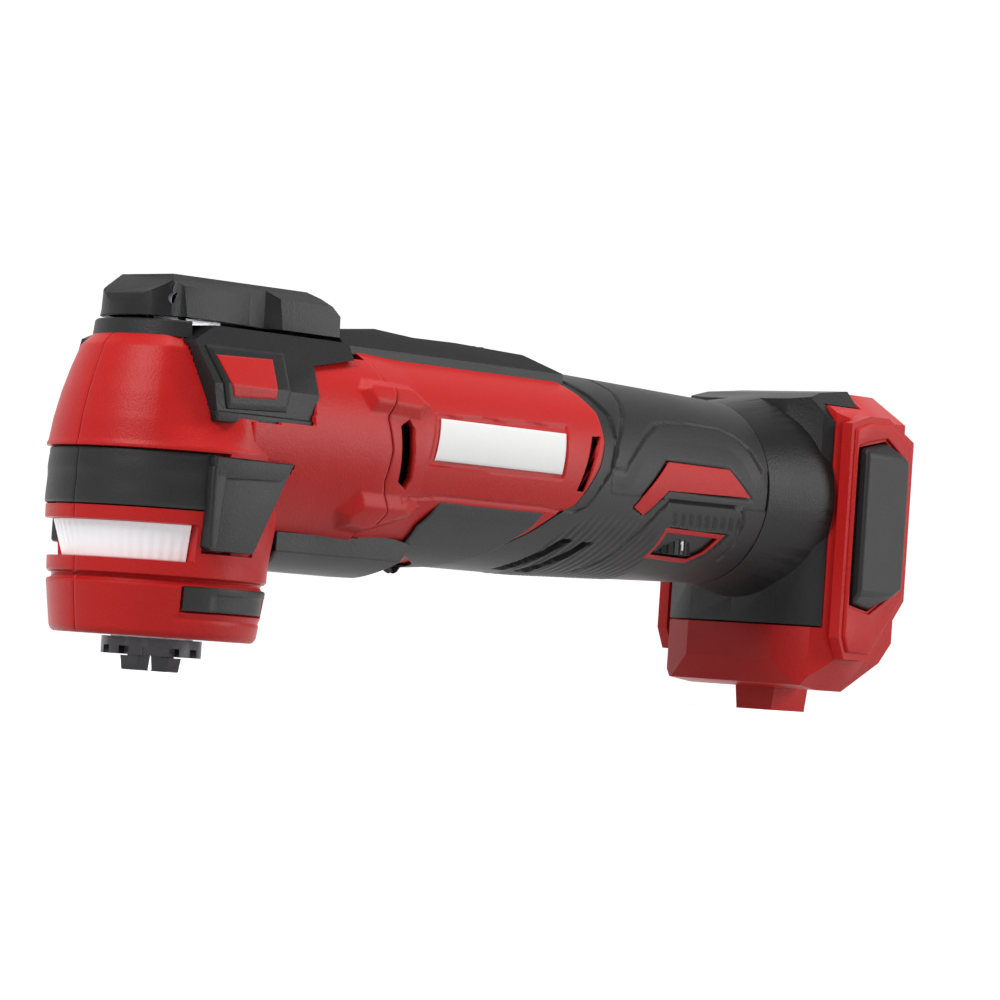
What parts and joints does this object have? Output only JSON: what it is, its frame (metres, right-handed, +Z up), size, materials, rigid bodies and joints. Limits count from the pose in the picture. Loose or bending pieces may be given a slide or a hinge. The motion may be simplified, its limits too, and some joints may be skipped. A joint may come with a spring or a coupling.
{
  "type": "oscillating multi-tool",
  "caption": "Cordless oscillating multi-tool: right-angle head with clamp lever, blade seat and lamp, round barrel grip, thumb switch, speed wheel and slide-on tail battery.",
  "frame": {"origin": "spindle axis at the ground plane, level with the tips of the clamp jaws and the keel of the battery", "axes": "+X from the nose to the tail along the barrel, +Z up along the spindle axis; the speed wheel is on the -Y side"},
  "size_m": [0.2902, 0.0766, 0.1004],
  "materials": {
    "red_shell": "fine moulded grain",
    "black_rubber": "soft moulded grain",
    "black_shell": "fine moulded grain",
    "white_mark": "printed satin",
    "lens": "frosted",
    "board": "solder mask",
    "cast_metal": "as cast",
    "steel": "ground",
    "dark_steel": "black oxide",
    "winding": "lacquered",
    "cell_wrap": "shrink film"
  },
  "bodies": {
    "housing": {"gear_housing_left": "red_shell", "gear_housing_right": "red_shell", "head_band_left": "black_rubber", "head_band_right": "black_rubber", "top_cover": "black_rubber", "badge_left": "red_shell", "badge_right": "red_shell", "collar_left": "red_shell", "collar_right": "red_shell", "collar_insert_left": "black_rubber", "collar_insert_right": "black_rubber", "lamp_lens": "lens", "lamp_board": "board", "motor_housing_left": "red_shell", "motor_housing_right": "red_shell", "name_plate_left": "white_mark", "name_plate_right": "white_mark", "belly_pad": "black_rubber", "neck_pad": "black_rubber", "switch_panel": "black_shell", "switch_liner": "red_shell", "grip_left": "black_rubber", "grip_right": "black_rubber", "grip_stripe_left": "red_shell", "grip_stripe_right": "red_shell", "dial_window": "red_shell", "foot_left": "black_shell", "foot_right": "black_shell", "gear_case": "cast_metal", "lever_bracket": "steel", "spindle_bearings": "steel", "motor_bearings": "steel", "stator": "winding", "motor_bracket": "black_shell", "switch_block": "black_shell", "speed_potentiometer": "board", "control_board": "board", "terminal_block": "black_shell", "housing_screws": "steel", "collar_screws": "steel"},
    "spindle": {"spindle": "steel", "swing_fork": "steel", "blade_flange": "dark_steel", "clamp_spring": "steel"},
    "clamp": {"clamp_rod": "steel"},
    "jaw_left": {"clamp_jaw_left": "dark_steel"},
    "jaw_right": {"clamp_jaw_right": "dark_steel"},
    "lever": {"clamp_lever": "black_shell", "lever_cam": "steel"},
    "motor": {"motor_shaft": "steel", "rotor": "dark_steel", "cooling_fan": "black_shell", "eccentric_bearing": "steel"},
    "switch": {"switch_slider": "black_shell"},
    "dial": {"speed_dial": "black_shell"},
    "battery": {"battery_front": "red_shell", "battery_rear": "red_shell", "battery_cells": "cell_wrap"},
    "button_left": {"release_button_left": "black_shell"},
    "button_right": {"release_button_right": "black_shell"}
  },
  "joints": [
    {"name": "spindle_swing", "type": "hinge", "parent": "housing", "child": "spindle", "pos_m": [0, 0, 0.02], "axis": [0, 0, 1], "range_deg": [-1.6, 1.6]},
    {"name": "motor_spin", "type": "hinge", "parent": "housing", "child": "motor", "pos_m": [0.1, 0, 0.061], "axis": [1, 0, 0], "continuous": true},
    {"name": "lever_open", "type": "hinge", "parent": "housing", "child": "lever", "pos_m": [-0.0115, 0, 0.0936], "axis": [0, -1, 0], "range_deg": [0, 95]},
    {"name": "clamp_drop", "type": "slide", "parent": "spindle", "child": "clamp", "axis": [0, 0, -1], "range_m": [0, 0.0023], "deforming": ["clamp_spring"]},
    {"name": "jaw_left_swing", "type": "hinge", "parent": "clamp", "child": "jaw_left", "pos_m": [0, -0.0032, 0.0145], "axis": [1, 0, 0], "range_deg": [0, 10]},
    {"name": "jaw_right_swing", "type": "hinge", "parent": "clamp", "child": "jaw_right", "pos_m": [0, 0.0032, 0.0145], "axis": [-1, 0, 0], "range_deg": [0, 10]},
    {"name": "switch_slide", "type": "slide", "parent": "housing", "child": "switch", "axis": [1, 0, 0], "range_m": [0, 0.0082]},
    {"name": "dial_turn", "type": "hinge", "parent": "housing", "child": "dial", "pos_m": [0.1765, -0.012, 0.0442], "axis": [0, 0, 1], "range_deg": [-225, 0]},
    {"name": "battery_slide", "type": "slide", "parent": "housing", "child": "battery", "axis": [0, 0, -1], "range_m": [0, 0.085]},
    {"name": "button_left_press", "type": "slide", "parent": "battery", "child": "button_left", "axis": [0, 1, 0], "range_m": [0, 0.0022], "stiffness_N_per_m": 1200, "springref_m": -0.001},
    {"name": "button_right_press", "type": "slide", "parent": "battery", "child": "button_right", "axis": [0, -1, 0], "range_m": [0, 0.0022], "stiffness_N_per_m": 1200, "springref_m": -0.001}
  ],
  "couplings": [
    {"joint": "clamp_drop", "follows": "lever_open", "m_per_rad": 0.001387},
    {"joint": "jaw_left_swing", "follows": "lever_open", "ratio": 0.10525},
    {"joint": "jaw_right_swing", "follows": "lever_open", "ratio": 0.10525}
  ]
}
